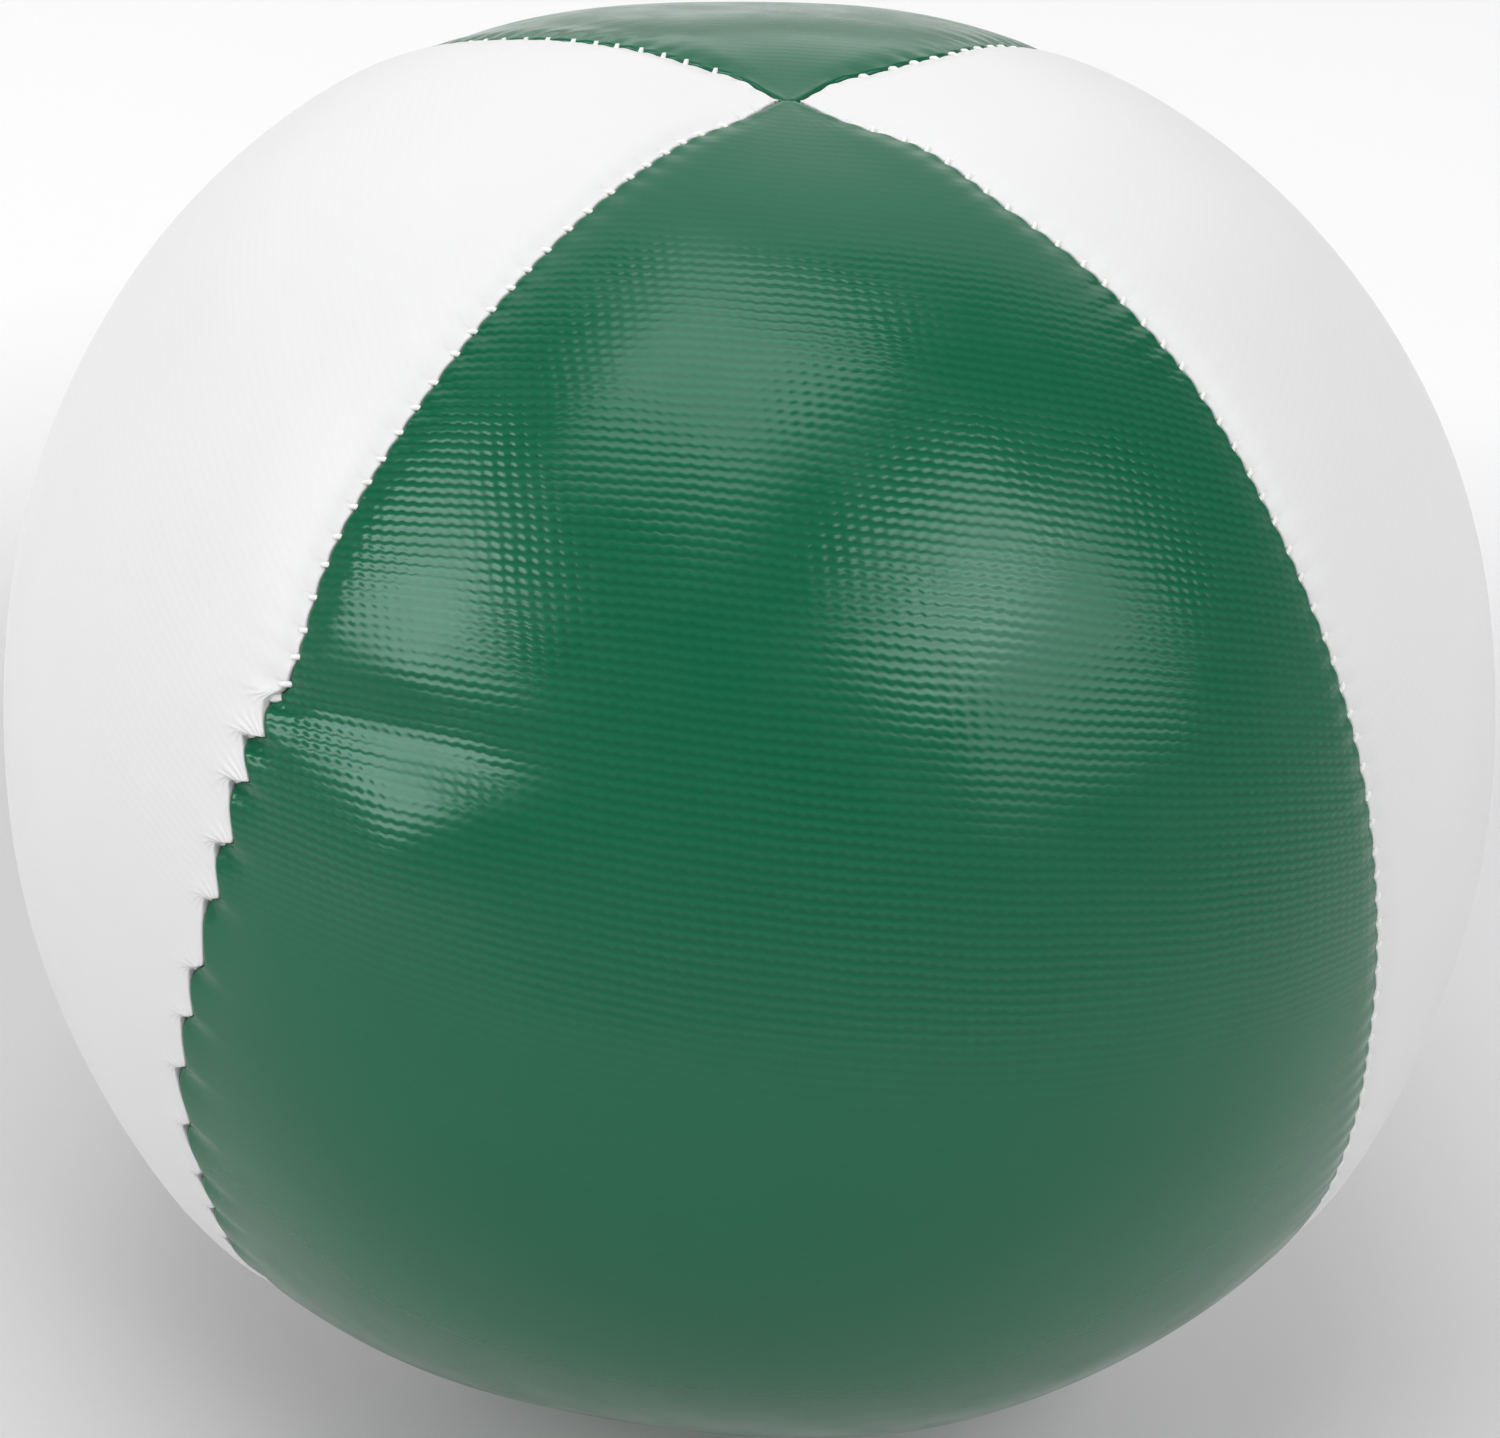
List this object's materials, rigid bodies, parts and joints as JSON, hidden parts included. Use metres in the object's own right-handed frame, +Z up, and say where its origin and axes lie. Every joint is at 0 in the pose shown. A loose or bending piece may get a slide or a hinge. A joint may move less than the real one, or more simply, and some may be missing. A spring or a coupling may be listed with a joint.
{
  "type": "juggling ball",
  "caption": "Soft round juggling ball sewn from alternating green and white panels of coated fabric, filled with seed, with one seam closed by hand.",
  "frame": {"origin": "middle of the flattened patch that the ball rests on", "axes": "+Z up the axis on which the four seams meet, front green panel towards -Y, white panels at +X and -X"},
  "size_m": [0.067, 0.067, 0.0622],
  "materials": {
    "green_coated_fabric": "satin coated fabric with a fine woven rib showing through",
    "white_coated_fabric": "smooth satin coated fabric",
    "sewing_thread": "twisted white sewing thread",
    "seed_filling": "loose millet-sized seed"
  },
  "bodies": {
    "root": {"front_green_panel": "green_coated_fabric", "back_green_panel": "green_coated_fabric", "left_white_panel": "white_coated_fabric", "right_white_panel": "white_coated_fabric", "front_right_needle_thread": "sewing_thread", "front_right_bobbin_thread": "sewing_thread", "back_right_needle_thread": "sewing_thread", "back_right_bobbin_thread": "sewing_thread", "back_left_needle_thread": "sewing_thread", "back_left_bobbin_thread": "sewing_thread", "front_left_upper_needle_thread": "sewing_thread", "front_left_upper_bobbin_thread": "sewing_thread", "front_left_lower_needle_thread": "sewing_thread", "front_left_lower_bobbin_thread": "sewing_thread", "closing_thread": "sewing_thread", "seed_filling": "seed_filling"}
  },
  "joints": []
}
